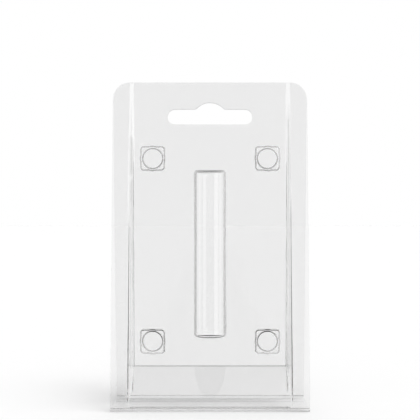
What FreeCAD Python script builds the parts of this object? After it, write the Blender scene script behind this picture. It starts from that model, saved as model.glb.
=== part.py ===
"""Self-standing tri-fold clamshell pack of clear thermoformed sheet.

Two wedge-shaped shells stand on a narrow base panel. Each shell has a flat central panel at the
pack's middle plane, flanked by wings that lean outward, and half of a round product pocket. Four
snaps hold the panels together: a squarish socket in the front shell over a round stud in the back.
The origin is the centre of the base's underside, +Z is up and the front faces -Y. Millimetres.
"""

import FreeCAD
import Part
import math
import os

# Overall form
pack_width = 72.8
pack_height = 121.6
base_depth = 15.0
gauge = 0.4
panel_gap = 0.1
wing_offset_top = 0.8
corner_radius = 6.4

# Living hinges between the base panel and the shells
hinge_height = 1.5
hinge_gap = 0.1
base_bend_radius = 1.2

# Recess of each shell, from the wings down to the central panel
wing_width = 6.4
recess_wall_run = 1.4
ramp_top = 15.0
ramp_foot = 2.0
recess_inner_radius = 0.5
recess_outer_radius = 0.7

# Round product pocket, half in each shell
pocket_inner_radius = 5.35
pocket_rise = 11.0
pocket_drop = 33.0
pocket_end_draft = 6.0
pocket_end_radius = 0.9
pocket_root_radius = 0.4

# Snaps
snap_inset = 7.1
snap_rise = 9.5
snap_drop = 28.6
stud_radius = 4.1
stud_height = 1.6
stud_edge_radius = 0.6
snap_draft = 8.0
snap_side_clearance = 0.45
snap_end_clearance = 0.3
socket_side_inset = 0.2
socket_corner_radius = 1.5
socket_edge_radius = 0.55

# Hang slot
slot_length = 32.0
slot_height = 5.8
slot_drop = 10.0
hump_width = 10.6
hump_height = 2.5
hump_root_radius = 0.6

# How far cutting tools run past the faces they cut, and how closely faces are told apart
reach = 1.0
skim = 0.05
match = 0.02

half_width = pack_width / 2
shell_bottom = hinge_height + hinge_gap
recess_half_width = half_width - wing_width
panel_half_width = recess_half_width - recess_wall_run
panel_face = panel_gap / 2 + gauge
block_back = base_depth + stud_height
wing_slope = (base_depth / 2 - wing_offset_top) / (pack_height - hinge_height)
pocket_bottom = ramp_top + pocket_rise
pocket_top = pack_height - pocket_drop
slot_bottom = pack_height - slot_drop - slot_height
Y_AXIS = FreeCAD.Vector(0, 1, 0)
X_AXIS = FreeCAD.Vector(1, 0, 0)


def vector(x, y, z):
    return FreeCAD.Vector(x, y, z)


def wing_face(z):
    """Distance of a wing's outer face from the middle plane, at height z."""
    return base_depth / 2 - wing_slope * (z - hinge_height)


def polygon_wire(points):
    """Closed wire through the points."""
    return Part.makePolygon(points + points[:1])


def prism_x(profile, half_length):
    """Solid of a (y, z) profile, run along X to half_length on each side."""
    wire = polygon_wire([vector(-half_length, y, z) for y, z in profile])
    return Part.Face(wire).extrude(X_AXIS * 2 * half_length)


def near(value, target):
    return abs(value - target) < match


def recess_section(z, depth):
    """Trapezoid of the recess at height z, on the sheet's face that lies depth under the front."""
    wing = wing_face(z)
    rise = wing - panel_face
    run = recess_half_width - panel_half_width
    length = math.hypot(rise, run)
    side_shift = depth * (1 - run / length) / (rise / length)
    panel_x = panel_half_width + side_shift
    front_x = recess_half_width + side_shift + skim * run / rise
    panel_y = depth - panel_face
    front_y = depth - wing - skim
    return polygon_wire([
        vector(-panel_x, panel_y, z),
        vector(panel_x, panel_y, z),
        vector(front_x, front_y, z),
        vector(-front_x, front_y, z),
    ])


def recess_form(depth):
    """Space in front of the central panel and above the ramp, grown by depth into the sheet."""
    low, high = -reach, pack_height + 2 * reach
    walls = Part.makeLoft([recess_section(low, depth), recess_section(high, depth)], True, True)
    foot_y = wing_face(ramp_foot)
    ramp_run = foot_y - panel_face
    ramp_rise = ramp_top - ramp_foot
    ramp_length = math.hypot(ramp_run, ramp_rise)
    drop = depth * ramp_length / ramp_run
    slope = ramp_rise / ramp_run
    ahead, behind = -base_depth, reach
    above = prism_x([
        (ahead, ramp_top - drop + slope * (ahead + panel_face)),
        (behind, ramp_top - drop + slope * (behind + panel_face)),
        (behind, high),
        (ahead, high),
    ], pack_width)
    form = walls.common(above)
    panel_y = depth - panel_face
    rims = [
        edge for edge in form.Edges
        if near(edge.BoundBox.YMax, panel_y) and edge.BoundBox.ZMin < pack_height
    ]
    return form.makeFillet(recess_inner_radius + depth, rims)


def pocket_form(depth):
    """Half-round product pocket, shrunk by depth."""
    radius = pocket_inner_radius + gauge - depth
    barrel = Part.makeCylinder(radius, pack_height, vector(0, 0, 0), vector(0, 0, 1))
    lean = radius * math.tan(math.radians(pocket_end_draft))
    ends = prism_x([
        (-radius - skim, pocket_bottom + depth + lean),
        (-radius - skim, pocket_top - depth - lean),
        (0, pocket_top - depth),
        (0, pocket_bottom + depth),
    ], pack_width)
    form = barrel.common(ends)
    half_length = (pocket_top - pocket_bottom) / 2
    rims = [
        edge for edge in form.Edges
        if not near(edge.BoundBox.YMin, 0) and edge.BoundBox.ZLength < half_length
    ]
    return form.makeFillet(pocket_end_radius - depth, rims)


def cone_along_y(centre_x, centre_z, start_y, end_y, start_radius, draft):
    """Cone frustum along Y that narrows by the draft angle on its way to end_y."""
    length = abs(end_y - start_y)
    end_radius = start_radius - length * math.tan(math.radians(draft))
    axis = Y_AXIS * math.copysign(1, end_y - start_y)
    return Part.makeCone(start_radius, end_radius, length, vector(centre_x, start_y, centre_z), axis)


def rounded_square(centre_x, centre_z, y, half_side, radius):
    """Wire of a square with round corners, in the plane at y."""
    inner = half_side - radius
    mid = radius * math.sqrt(0.5)
    edges = []
    corners = [(1, 1), (-1, 1), (-1, -1), (1, -1)]
    for index, (sx, sz) in enumerate(corners):
        along_x = index % 2 == 0
        start = (sx * half_side, sz * inner) if along_x else (sx * inner, sz * half_side)
        end = (sx * inner, sz * half_side) if along_x else (sx * half_side, sz * inner)
        middle = (sx * (inner + mid), sz * (inner + mid))
        arc_points = [vector(centre_x + px, y, centre_z + pz) for px, pz in (start, middle, end)]
        edges.append(Part.Arc(*arc_points).toShape())
        nx, nz = corners[(index + 1) % 4]
        nx, nz = (nx * inner, nz * half_side) if along_x else (nx * half_side, nz * inner)
        side_end = vector(centre_x + nx, y, centre_z + nz)
        edges.append(Part.LineSegment(arc_points[2], side_end).toShape())
    return Part.Wire(edges)


def socket_form(centre_x, centre_z, depth):
    """Snap socket that stands out in front of the panel: a rounded square with a round boss in it."""
    mouth_y = -panel_gap / 2
    tip_y = -(stud_height - panel_gap / 2 + snap_end_clearance + gauge - depth)
    start_y = mouth_y + reach
    grow = (start_y - mouth_y) * math.tan(math.radians(snap_draft))
    round_radius = stud_radius + snap_side_clearance + gauge - depth
    square_half = round_radius - socket_side_inset
    boss = cone_along_y(centre_x, centre_z, start_y, tip_y, round_radius + grow, snap_draft)
    narrow = (start_y - tip_y) * math.tan(math.radians(snap_draft))
    wide = square_half + grow
    corner = socket_corner_radius + grow - depth
    block = Part.makeLoft([
        rounded_square(centre_x, centre_z, start_y, wide, corner),
        rounded_square(centre_x, centre_z, tip_y, wide - narrow, corner - narrow),
    ], True, True)
    edge_radius = socket_edge_radius - depth
    boss = boss.makeFillet(edge_radius, [e for e in boss.Edges if near(e.BoundBox.YMax, tip_y)])
    block = block.makeFillet(edge_radius, [e for e in block.Edges if near(e.BoundBox.YMax, tip_y)])
    return boss.fuse(block)


def stud_form(centre_x, centre_z, depth):
    """Hollow of a snap stud that is pressed inward from the panel, grown by depth."""
    root_y = -panel_gap / 2
    tip_y = root_y + stud_height - gauge + depth
    start_y = -panel_face - reach
    grow = (root_y - start_y) * math.tan(math.radians(snap_draft))
    start_radius = stud_radius + grow - gauge + depth
    form = cone_along_y(centre_x, centre_z, start_y, tip_y, start_radius, snap_draft)
    edge_radius = stud_edge_radius - gauge + depth
    return form.makeFillet(edge_radius, [e for e in form.Edges if near(e.BoundBox.YMin, tip_y)])


def snap_centres():
    x = panel_half_width - snap_inset
    return [(side * x, z) for z in (ramp_top + snap_rise, pack_height - snap_drop) for side in (-1, 1)]


def sheet_block(depth, margin):
    """Solid behind the wings' plane, grown by margin past the sheet's cut edges."""
    low, high = shell_bottom - margin, pack_height + margin
    shift = depth * math.hypot(1, wing_slope)
    return prism_x([
        (shift - wing_face(low), low),
        (block_back + margin, low),
        (block_back + margin, high),
        (shift - wing_face(high), high),
    ], half_width + margin)


def on_wing_plane(edge, depth):
    shift = depth * math.hypot(1, wing_slope)
    return all(near(v.Y, shift - wing_face(v.Z)) for v in edge.Vertexes)


def formed_block(depth, margin, has_sockets):
    """Solid behind one face of the formed sheet: its front face at depth 0, its back one at depth gauge."""
    block = sheet_block(depth, margin).cut(recess_form(depth))
    mouth = [
        edge for edge in block.Edges
        if on_wing_plane(edge, depth) and edge.BoundBox.XMax < half_width - skim
        and edge.BoundBox.XMin > skim - half_width and edge.BoundBox.ZMin > shell_bottom + skim
    ]
    block = block.makeFillet(recess_outer_radius - depth, mouth)
    block = block.fuse(pocket_form(depth))
    panel_y = depth - panel_face
    root_reach = pocket_inner_radius + gauge + skim
    roots = [
        edge for edge in block.Edges
        if near(edge.BoundBox.YMin, panel_y) and near(edge.BoundBox.YMax, panel_y)
        and edge.BoundBox.XMax < root_reach and edge.BoundBox.XMin > -root_reach
    ]
    block = block.makeFillet(pocket_root_radius + depth, roots)
    for x, z in snap_centres():
        if has_sockets:
            block = block.fuse(socket_form(x, z, depth))
        else:
            block = block.cut(stud_form(x, z, depth))
    return block


def hang_slot():
    """Cutter for the hang slot: a long round-ended slot with a low hump over its middle."""
    end_radius = slot_height / 2
    middle = slot_bottom + end_radius
    half_run = slot_length / 2 - end_radius
    run = 2 * block_back
    cutter = Part.makeBox(2 * half_run, run, slot_height, vector(-half_run, -block_back, slot_bottom))
    for x in (-half_run, half_run):
        cutter = cutter.fuse(Part.makeCylinder(end_radius, run, vector(x, -block_back, middle), Y_AXIS))
    hump_radius = ((hump_width / 2) ** 2 + hump_height ** 2) / (2 * hump_height)
    hump_centre = slot_bottom + slot_height + hump_height - hump_radius
    hump = Part.makeCylinder(hump_radius, run, vector(0, -block_back, hump_centre), Y_AXIS)
    above = Part.makeBox(2 * hump_radius, run, 2 * hump_radius, vector(-hump_radius, -block_back, middle))
    cutter = cutter.fuse(hump.common(above)).removeSplitter()
    kinks = [
        edge for edge in cutter.Edges
        if near(abs(edge.BoundBox.XMin), hump_width / 2) and near(edge.BoundBox.XLength, 0)
        and near(edge.BoundBox.YLength, run)
    ]
    return cutter.makeFillet(hump_root_radius, kinks)


def outline():
    """Room inside the shell's cut edges: its two upper corners are round."""
    run = 2 * block_back
    inner = half_width - corner_radius
    shoulder = pack_height - corner_radius
    room = Part.makeBox(pack_width, run, shoulder, vector(-half_width, -block_back, 0))
    room = room.fuse(Part.makeBox(2 * inner, run, pack_height, vector(-inner, -block_back, 0)))
    for x in (-inner, inner):
        room = room.fuse(Part.makeCylinder(corner_radius, run, vector(x, -block_back, shoulder), Y_AXIS))
    return room.removeSplitter()


def shell_half(has_sockets):
    """One shell in the front's place, its outer face towards -Y."""
    front = formed_block(0, 0, has_sockets).common(outline()).cut(hang_slot())
    back = formed_block(gauge, reach, has_sockets)
    return front.cut(back)


def front_shell():
    return shell_half(True)


def back_shell():
    return shell_half(False).mirror(vector(0, 0, 0), Y_AXIS)


def base_panel():
    """Shallow channel that the pack stands on, its rims bent up to the two living hinges."""
    half = base_depth / 2
    rim = hinge_height - hinge_gap
    outer = base_bend_radius
    inner = base_bend_radius - gauge
    centre_y = half - outer
    turn = math.sqrt(0.5)
    x = -half_width

    def point(y, z):
        return vector(x, y, z)

    def line(a, b):
        return Part.LineSegment(point(*a), point(*b)).toShape()

    def arc(sign, radius):
        ends = [(sign * centre_y, outer - radius), (sign * (centre_y + radius), outer)]
        mid = (sign * (centre_y + radius * turn), outer - radius * turn)
        return Part.Arc(point(*ends[0]), point(*mid), point(*ends[1])).toShape()

    edges = [
        line((-centre_y, 0), (centre_y, 0)),
        arc(1, outer),
        line((half, outer), (half, rim)),
        line((half, rim), (half - gauge, rim)),
        line((half - gauge, rim), (half - gauge, outer)),
        arc(1, inner),
        line((centre_y, gauge), (-centre_y, gauge)),
        arc(-1, inner),
        line((gauge - half, outer), (gauge - half, rim)),
        line((gauge - half, rim), (-half, rim)),
        line((-half, rim), (-half, outer)),
        arc(-1, outer),
    ]
    return Part.Face(Part.Wire(Part.__sortEdges__(edges))).extrude(X_AXIS * pack_width)


def save(shape, node):
    shape.exportStep(os.path.join("parts", node + ".step"))
    print(node, "solids", len(shape.Solids), "valid", shape.isValid(), "volume", round(shape.Volume, 1))


os.makedirs("parts", exist_ok=True)
save(front_shell(), "front_shell")
save(back_shell(), "back_shell")
save(base_panel(), "base_panel")
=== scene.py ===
"""Clear thermoformed clamshell pack, standing closed on a pale table in soft studio light."""

import math

import bmesh
import bpy
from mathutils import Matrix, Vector


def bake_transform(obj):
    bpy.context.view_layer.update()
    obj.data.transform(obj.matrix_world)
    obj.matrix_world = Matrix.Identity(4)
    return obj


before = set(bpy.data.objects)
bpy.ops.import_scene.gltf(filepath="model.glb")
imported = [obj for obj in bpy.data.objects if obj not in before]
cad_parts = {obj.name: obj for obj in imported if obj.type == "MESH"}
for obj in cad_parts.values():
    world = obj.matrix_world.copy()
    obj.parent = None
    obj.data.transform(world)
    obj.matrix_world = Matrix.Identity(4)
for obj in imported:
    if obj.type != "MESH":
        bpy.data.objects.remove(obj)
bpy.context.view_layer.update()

# Lengths are in metres.

# Camera, level and in front of the pack
CAMERA_DISTANCE = 0.2197
CAMERA_HEIGHT = 0.0737
CAMERA_LENS = 50
CAMERA_SENSOR = 36
CAMERA_CLIP = 0.01
SHEETS_SEEN_THROUGH = 48

# Clear sheet
PET_IOR = 1.57
HAZE_SCALE = 90.0
HAZE_ROUGHNESS = 0.03
RIPPLE_SCALE = 60.0
PEEL_SCALE = 900.0
PEEL_SHARE = 0.08
BUMP_STRENGTH = 0.1
BUMP_HEIGHT = 0.0001

# Share of light that passes a face on its way to the table, and how late a slant takes it away
FACE_PASSES = 0.98
SLANT_POWER = 5.0

# Painted shade: dark lines painted along the ramp's edges, in place of the dark lines its bends show
# by refraction. A clarity of 1 darkens nothing.
RAMP_TOP = 0.015
RAMP_FOOT = 0.00185
CREASE_END = 0.0292
CREASE_HALF = 0.0004
PAINTED_CREASE_CLARITY = 0.74

# Painted shade: dark lines painted down the recess walls, fading out over these heights
WALL_MIDDLE = 0.0296
PAINTED_WALL_CLARITY = 0.85
WALL_FADE = (0.0, 0.115)

# Painted shades on the ramp: a painted shade towards its top, and the painted shadow of the pocket's
# end
RAMP_PAINTED_SHADE = 0.035
POCKET_RADIUS = 0.0058
POCKET_SHADE = 0.055

# Hinge webs. A section is its reach up and down, half its thickness at the ends and at the waist.
WEB_Y = 0.0073
WEB_Z = 0.0015
WEB_THIN = (0.00012, 0.00017, 0.0001)
WEB_FULL = (0.0002, 0.00019, 0.00017)
WEB_END = 0.0363
WEB_THIN_FROM = 0.0294
WEB_FULL_TO = 0.029
WEB_STEPS = 8
WEB_CLARITY = 0.85

# Table
TABLE_REACH = 2.5
TABLE_GREY = 0.93
TABLE_ROUGHNESS = 0.9

# Painted light: the table glows evenly where it is seen through the pack, in place of the pack's
# shadow there; the glow fades in over BEHIND and out over BESIDE.
BEHIND = (0.0075, 0.0095)
BESIDE = (0.031, 0.034)
EVEN_SHARE = 0.75
EVEN_LEVEL = 0.98

# Key light
KEY_STRENGTH = 1.33
KEY_PLACE = (0.40, -0.20, 1.15)
KEY_ANGLE = math.radians(26)

# Softboxes: the place of both, then each one's lower end, upper end, width and radiance
STRIP_PLACE = (0.40, -0.36)
SOFT_STRIP = (-0.14, 0.13, 0.30, 0.95)
BRIGHT_STRIP = (0.13, 0.50, 0.60, 1.4)

# Room: grey levels from its front at 0 to its back at 1, as it is seen and as the gloss mirrors it
ROOM_SEEN = ((0.0, 0.85), (0.2, 0.85), (0.35, 0.6), (0.82, 0.6), (0.93, 1.0), (1.0, 1.0))
ROOM_MIRRORED = ((0.0, 0.03), (0.3, 0.03), (0.5, 0.6), (0.9, 0.6), (0.96, 1.0), (1.0, 1.0))


def node(tree, kind, **values):
    """A shader node with its properties and input values set."""
    made = tree.nodes.new(kind)
    for name, value in values.items():
        if hasattr(made, name):
            setattr(made, name, value)
        else:
            made.inputs[name.replace("_", " ").title()].default_value = value
    return made


def math_of(tree, operation, *values):
    """Result of one math step, each value a number or another node's output."""
    made = node(tree, "ShaderNodeMath", operation=operation)
    for socket, value in zip(made.inputs, values):
        if isinstance(value, (int, float)):
            socket.default_value = value
        else:
            tree.links.new(value, socket)
    return made.outputs["Value"]


def between(tree, value, span, low, high, interpolation="LINEAR"):
    """low up to the span's start, high from its end on, and a change from one to the other between."""
    level = node(tree, "ShaderNodeMapRange", interpolation_type=interpolation)
    settings = (("From Min", span[0]), ("From Max", span[1]), ("To Min", low), ("To Max", high))
    for socket, setting in settings:
        level.inputs[socket].default_value = setting
    tree.links.new(value, level.inputs["Value"])
    return level.outputs["Result"]


def mix_of(tree, share, first, second):
    """The first shader with that share of the second in its place."""
    mix = node(tree, "ShaderNodeMixShader")
    for socket, value in zip(mix.inputs, (share, first, second)):
        tree.links.new(value, socket)
    return mix.outputs["Shader"]


def own_place(tree):
    """The object's own coordinates, whole and as x, y and z."""
    place = node(tree, "ShaderNodeTexCoord").outputs["Object"]
    split = node(tree, "ShaderNodeSeparateXYZ")
    tree.links.new(place, split.inputs["Vector"])
    return place, split.outputs["X"], split.outputs["Y"], split.outputs["Z"]


def after_a_mirror(tree):
    """1 on a path that was mirrored anywhere on its way, else 0."""
    path = node(tree, "ShaderNodeLightPath")
    return math_of(tree, "GREATER_THAN", path.outputs["Glossy Depth"], 0.5)


def new_material(name):
    """A material with its node tree and its shader node."""
    material = bpy.data.materials.new(name)
    material.use_nodes = True
    return material, material.node_tree, material.node_tree.nodes["Principled BSDF"]


def dress(obj, material):
    """The object wears this material and no other."""
    obj.data.materials.clear()
    obj.data.materials.append(material)


def clear_sheet(name, clarity=1.0, creases=None, pocket_shade=0.0):
    """Clear formed sheet: faint haze, long soft ripples and a fine orange peel from the forming."""
    material, tree, shader = new_material(name)
    shader.inputs["Base Color"].default_value = (clarity, clarity, clarity, 1.0)
    shader.inputs["IOR"].default_value = PET_IOR
    shader.inputs["Transmission Weight"].default_value = 1.0
    place, x, y, z = own_place(tree)
    haze = node(tree, "ShaderNodeTexNoise", scale=HAZE_SCALE, detail=3.0)
    ripple = node(tree, "ShaderNodeTexNoise", scale=RIPPLE_SCALE, detail=1.0)
    peel = node(tree, "ShaderNodeTexNoise", scale=PEEL_SCALE, detail=2.0)
    for texture in (haze, ripple, peel):
        tree.links.new(place, texture.inputs["Vector"])
    roughness = between(tree, haze.outputs["Fac"], (0.0, 1.0), 0.0, HAZE_ROUGHNESS)
    tree.links.new(roughness, shader.inputs["Roughness"])
    height = math_of(tree, "MULTIPLY_ADD", peel.outputs["Fac"], PEEL_SHARE, ripple.outputs["Fac"])
    bump = node(tree, "ShaderNodeBump", strength=BUMP_STRENGTH, distance=BUMP_HEIGHT)
    tree.links.new(height, bump.inputs["Height"])
    tree.links.new(bump.outputs["Normal"], shader.inputs["Normal"])
    if creases:
        # Painted shade: dark lines at the bends and painted shades on the ramp replace the base colour
        worked = painted_bend_lines(tree, x, z, creases)
        worked = ramp_shades(tree, worked, (x, y, z), pocket_shade)
        tree.links.new(worked, shader.inputs["Base Color"])
    let_light_through(tree, shader)
    return material


def crease(tree, along, centre, clarity):
    """Painted shade line: 1 on the plain sheet and clarity on a line where the coordinate equals
    centre.
    """
    away = math_of(tree, "ABSOLUTE", math_of(tree, "SUBTRACT", along, centre))
    return between(tree, away, (0.0, CREASE_HALF), clarity, 1.0, "SMOOTHSTEP")


def painted_bend_lines(tree, x, z, heights):
    """Clarity of the sheet with painted shade: dark lines painted along the recess walls, and at each
    height between them.
    """
    across = math_of(tree, "ABSOLUTE", x)
    beside = math_of(tree, "GREATER_THAN", across, CREASE_END)
    below = math_of(tree, "LESS_THAN", z, RAMP_TOP)
    plain = math_of(tree, "MAXIMUM", below, between(tree, z, WALL_FADE, 0.0, 1.0))
    clarity = math_of(tree, "MAXIMUM", crease(tree, across, WALL_MIDDLE, PAINTED_WALL_CLARITY), plain)
    for height in heights:
        line = math_of(tree, "MAXIMUM", crease(tree, z, height, PAINTED_CREASE_CLARITY), beside)
        clarity = math_of(tree, "MINIMUM", clarity, line)
    return clarity


def ramp_shades(tree, clarity, place, pocket_shade):
    """Clarity with painted shade, most at the ramp's top, and a painted shadow below the pocket's
    round end.
    """
    x, y, z = place
    across = math_of(tree, "ABSOLUTE", x)
    below = math_of(tree, "LESS_THAN", z, RAMP_TOP)
    inside = math_of(tree, "LESS_THAN", across, CREASE_END)
    upward = math_of(tree, "MULTIPLY", z, 1.0 / RAMP_TOP)
    on_ramp = math_of(tree, "MULTIPLY", math_of(tree, "MULTIPLY", below, inside), upward)
    ramp_shade_share = math_of(tree, "MULTIPLY", on_ramp, clarity)
    clarity = math_of(tree, "MULTIPLY_ADD", ramp_shade_share, -RAMP_PAINTED_SHADE, clarity)
    # Painted shadow of the pocket's end: where an upright cylinder around the pocket meets the ramp
    y_squared = math_of(tree, "MULTIPLY", y, y)
    from_axis = math_of(tree, "SQRT", math_of(tree, "MULTIPLY_ADD", x, x, y_squared))
    near = math_of(tree, "LESS_THAN", from_axis, POCKET_RADIUS)
    under_pocket = math_of(tree, "MULTIPLY", near, below)
    return math_of(tree, "MULTIPLY_ADD", under_pocket, -pocket_shade, clarity)


def let_light_through(tree, shader):
    """Light on its way to the table passes each face with little loss, and more of it at a slant."""
    path = node(tree, "ShaderNodeLightPath")
    lit = math_of(tree, "MAXIMUM", path.outputs["Is Shadow Ray"], path.outputs["Is Diffuse Ray"])
    facing = node(tree, "ShaderNodeLayerWeight", blend=0.5)
    slant = math_of(tree, "POWER", facing.outputs["Facing"], SLANT_POWER)
    clear = node(tree, "ShaderNodeBsdfTransparent")
    tree.links.new(between(tree, slant, (0.0, 1.0), FACE_PASSES, 0.0), clear.inputs["Color"])
    surface = mix_of(tree, lit, shader.outputs["BSDF"], clear.outputs["BSDF"])
    tree.links.new(surface, tree.nodes["Material Output"].inputs["Surface"])


def even_light(tree, shader):
    """The shader, with painted light: an even glow on paths that came through the pack and end behind
    it.
    """
    path = node(tree, "ShaderNodeLightPath")
    through = math_of(tree, "GREATER_THAN", path.outputs["Transmission Depth"], 0.5)
    _, x, y, _ = own_place(tree)
    behind = between(tree, y, BEHIND, 0.0, EVEN_SHARE)
    inside = between(tree, math_of(tree, "ABSOLUTE", x), BESIDE, 1.0, 0.0)
    share = math_of(tree, "MULTIPLY", math_of(tree, "MULTIPLY", behind, inside), through)
    even = node(tree, "ShaderNodeEmission", strength=EVEN_LEVEL)
    return mix_of(tree, share, shader.outputs["BSDF"], even.outputs["Emission"])


def table_top():
    """Plain pale table top. The pack's own gloss mirrors a dim room instead of it."""
    material, tree, shader = new_material("pale_table")
    shader.inputs["Base Color"].default_value = (TABLE_GREY, TABLE_GREY, TABLE_GREY, 1.0)
    shader.inputs["Roughness"].default_value = TABLE_ROUGHNESS
    shader.inputs["Specular IOR Level"].default_value = 0.0
    away = node(tree, "ShaderNodeBsdfTransparent")
    surface = mix_of(tree, after_a_mirror(tree), even_light(tree, shader), away.outputs["BSDF"])
    tree.links.new(surface, tree.nodes["Material Output"].inputs["Surface"])
    signs = ((-1, -1), (1, -1), (1, 1), (-1, 1))
    corners = [(across * TABLE_REACH, along * TABLE_REACH, 0) for across, along in signs]
    mesh = bpy.data.meshes.new("table_top")
    mesh.from_pydata(corners, [], [(0, 1, 2, 3)])
    obj = bpy.data.objects.new("table_top", mesh)
    bpy.context.collection.objects.link(obj)
    dress(obj, material)


def web_ring(middle, section):
    """Closed outline of a hinge web across its length, waisted at the fold, as (y, z) pairs."""
    reach, half, waist = section
    rows = []
    for step in range(WEB_STEPS + 1):
        t = 2 * step / WEB_STEPS - 1
        rows.append((WEB_Z + t * reach, waist + (half - waist) * t * t))
    ring = [(middle - thick, z) for z, thick in rows]
    return ring + [(middle + thick, z) for z, thick in reversed(rows)]


def web_mesh(name, middle):
    """A hinge web's closed mesh, thinnest under the wings and nearly full between them."""
    stations = [(WEB_END, WEB_THIN), (WEB_THIN_FROM, WEB_THIN), (WEB_FULL_TO, WEB_FULL)]
    stations = [(-x, section) for x, section in stations] + stations[::-1]
    verts = [(x, y, z) for x, section in stations for y, z in web_ring(middle, section)]
    count = len(verts) // len(stations)
    faces = [tuple(range(count - 1, -1, -1)), tuple(range(len(verts) - count, len(verts)))]
    for first in range(0, len(verts) - count, count):
        for i in range(count):
            j = (i + 1) % count
            faces.append((first + i, first + j, first + j + count, first + i + count))
    mesh = bpy.data.meshes.new(name)
    mesh.from_pydata(verts, [], faces)
    mesh.validate()
    work = bmesh.new()
    work.from_mesh(mesh)
    bmesh.ops.recalc_face_normals(work, faces=work.faces)
    work.to_mesh(mesh)
    work.free()
    return mesh


def hinge_web(name, side, material):
    """Thin plastic across the slit between the base's rim and a shell."""
    obj = bpy.data.objects.new(name, web_mesh(name, side * WEB_Y))
    bpy.context.collection.objects.link(obj)
    dress(obj, material)
    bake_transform(obj)


def lamp(name, kind, power, place, target):
    """A light at a place, turned to the target."""
    light = bpy.data.lights.new(name, kind)
    light.energy = power
    obj = bpy.data.objects.new(name, light)
    obj.location = place
    obj.rotation_euler = (Vector(target) - Vector(place)).to_track_quat("-Z", "Y").to_euler()
    bpy.context.collection.objects.link(obj)
    return obj


def softbox(name, low, high, width, radiance):
    """Upright softbox at the front right, from height low to high, that only the pack's gloss sees."""
    middle = (low + high) / 2
    height = high - low
    power = radiance * math.pi * width * height
    light = lamp(name, "AREA", power, STRIP_PLACE + (middle,), (0, 0, middle)).data
    light.shape = "RECTANGLE"
    light.size = width
    light.size_y = height
    light.use_nodes = True
    tree = light.node_tree
    tree.links.new(after_a_mirror(tree), tree.nodes["Emission"].inputs["Strength"])


def lights():
    """Soft key light from above at the front right, with no glint on the pack, and two softboxes."""
    key = lamp("key", "SUN", KEY_STRENGTH, KEY_PLACE, (0, 0, 0))
    key.data.angle = KEY_ANGLE
    key.visible_glossy = False
    key.visible_transmission = False
    softbox("soft_strip", *SOFT_STRIP)
    softbox("bright_strip", *BRIGHT_STRIP)


def levels(tree, stops):
    """Colour ramp of grey levels at places from 0 to 1."""
    made = tree.nodes.new("ShaderNodeValToRGB")
    points = made.color_ramp.elements
    while len(points) < len(stops):
        points.new(0.5)
    for point, (place, level) in zip(points, stops):
        point.position = place
        point.color = (level, level, level, 1.0)
    return made


def room():
    """White wall behind the pack and greyer sides. The gloss mirrors a room that is dark in front."""
    made = bpy.data.worlds.new("studio")
    made.use_nodes = True
    tree = made.node_tree
    place = node(tree, "ShaderNodeTexCoord")
    split = node(tree, "ShaderNodeSeparateXYZ")
    seen = levels(tree, ROOM_SEEN)
    mirrored = levels(tree, ROOM_MIRRORED)
    pick = node(tree, "ShaderNodeMix", data_type="RGBA")
    link = tree.links.new
    link(place.outputs["Generated"], split.inputs["Vector"])
    to_back = between(tree, split.outputs["Y"], (-1.0, 1.0), 0.0, 1.0)
    for ramp in (seen, mirrored):
        link(to_back, ramp.inputs["Fac"])
    link(after_a_mirror(tree), pick.inputs["Factor"])
    link(seen.outputs["Color"], pick.inputs["A"])
    link(mirrored.outputs["Color"], pick.inputs["B"])
    link(pick.outputs["Result"], tree.nodes["Background"].inputs["Color"])
    bpy.context.scene.world = made


def camera():
    """Level camera in front of the pack, at the photograph's distance and height."""
    data = bpy.data.cameras.new("camera")
    data.lens = CAMERA_LENS
    data.sensor_width = CAMERA_SENSOR
    data.clip_start = CAMERA_CLIP
    obj = bpy.data.objects.new("camera", data)
    obj.location = (0, -CAMERA_DISTANCE, CAMERA_HEIGHT)
    obj.rotation_euler = (math.radians(90), 0, 0)
    bpy.context.collection.objects.link(obj)
    bpy.context.scene.camera = obj


front_clear = clear_sheet("front_clear", creases=(RAMP_TOP, RAMP_FOOT), pocket_shade=POCKET_SHADE)
dress(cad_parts["front_shell"], front_clear)
dress(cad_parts["back_shell"], clear_sheet("back_clear", creases=(RAMP_TOP,)))
dress(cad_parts["base_panel"], clear_sheet("base_clear"))
web_clear = clear_sheet("hinge_web_worked", clarity=WEB_CLARITY)
hinge_web("front_hinge_web", -1, web_clear)
hinge_web("back_hinge_web", 1, web_clear)

table_top()
room()
lights()
camera()
bpy.context.scene.view_settings.view_transform = "Standard"
bpy.context.scene.cycles.transparent_max_bounces = SHEETS_SEEN_THROUGH
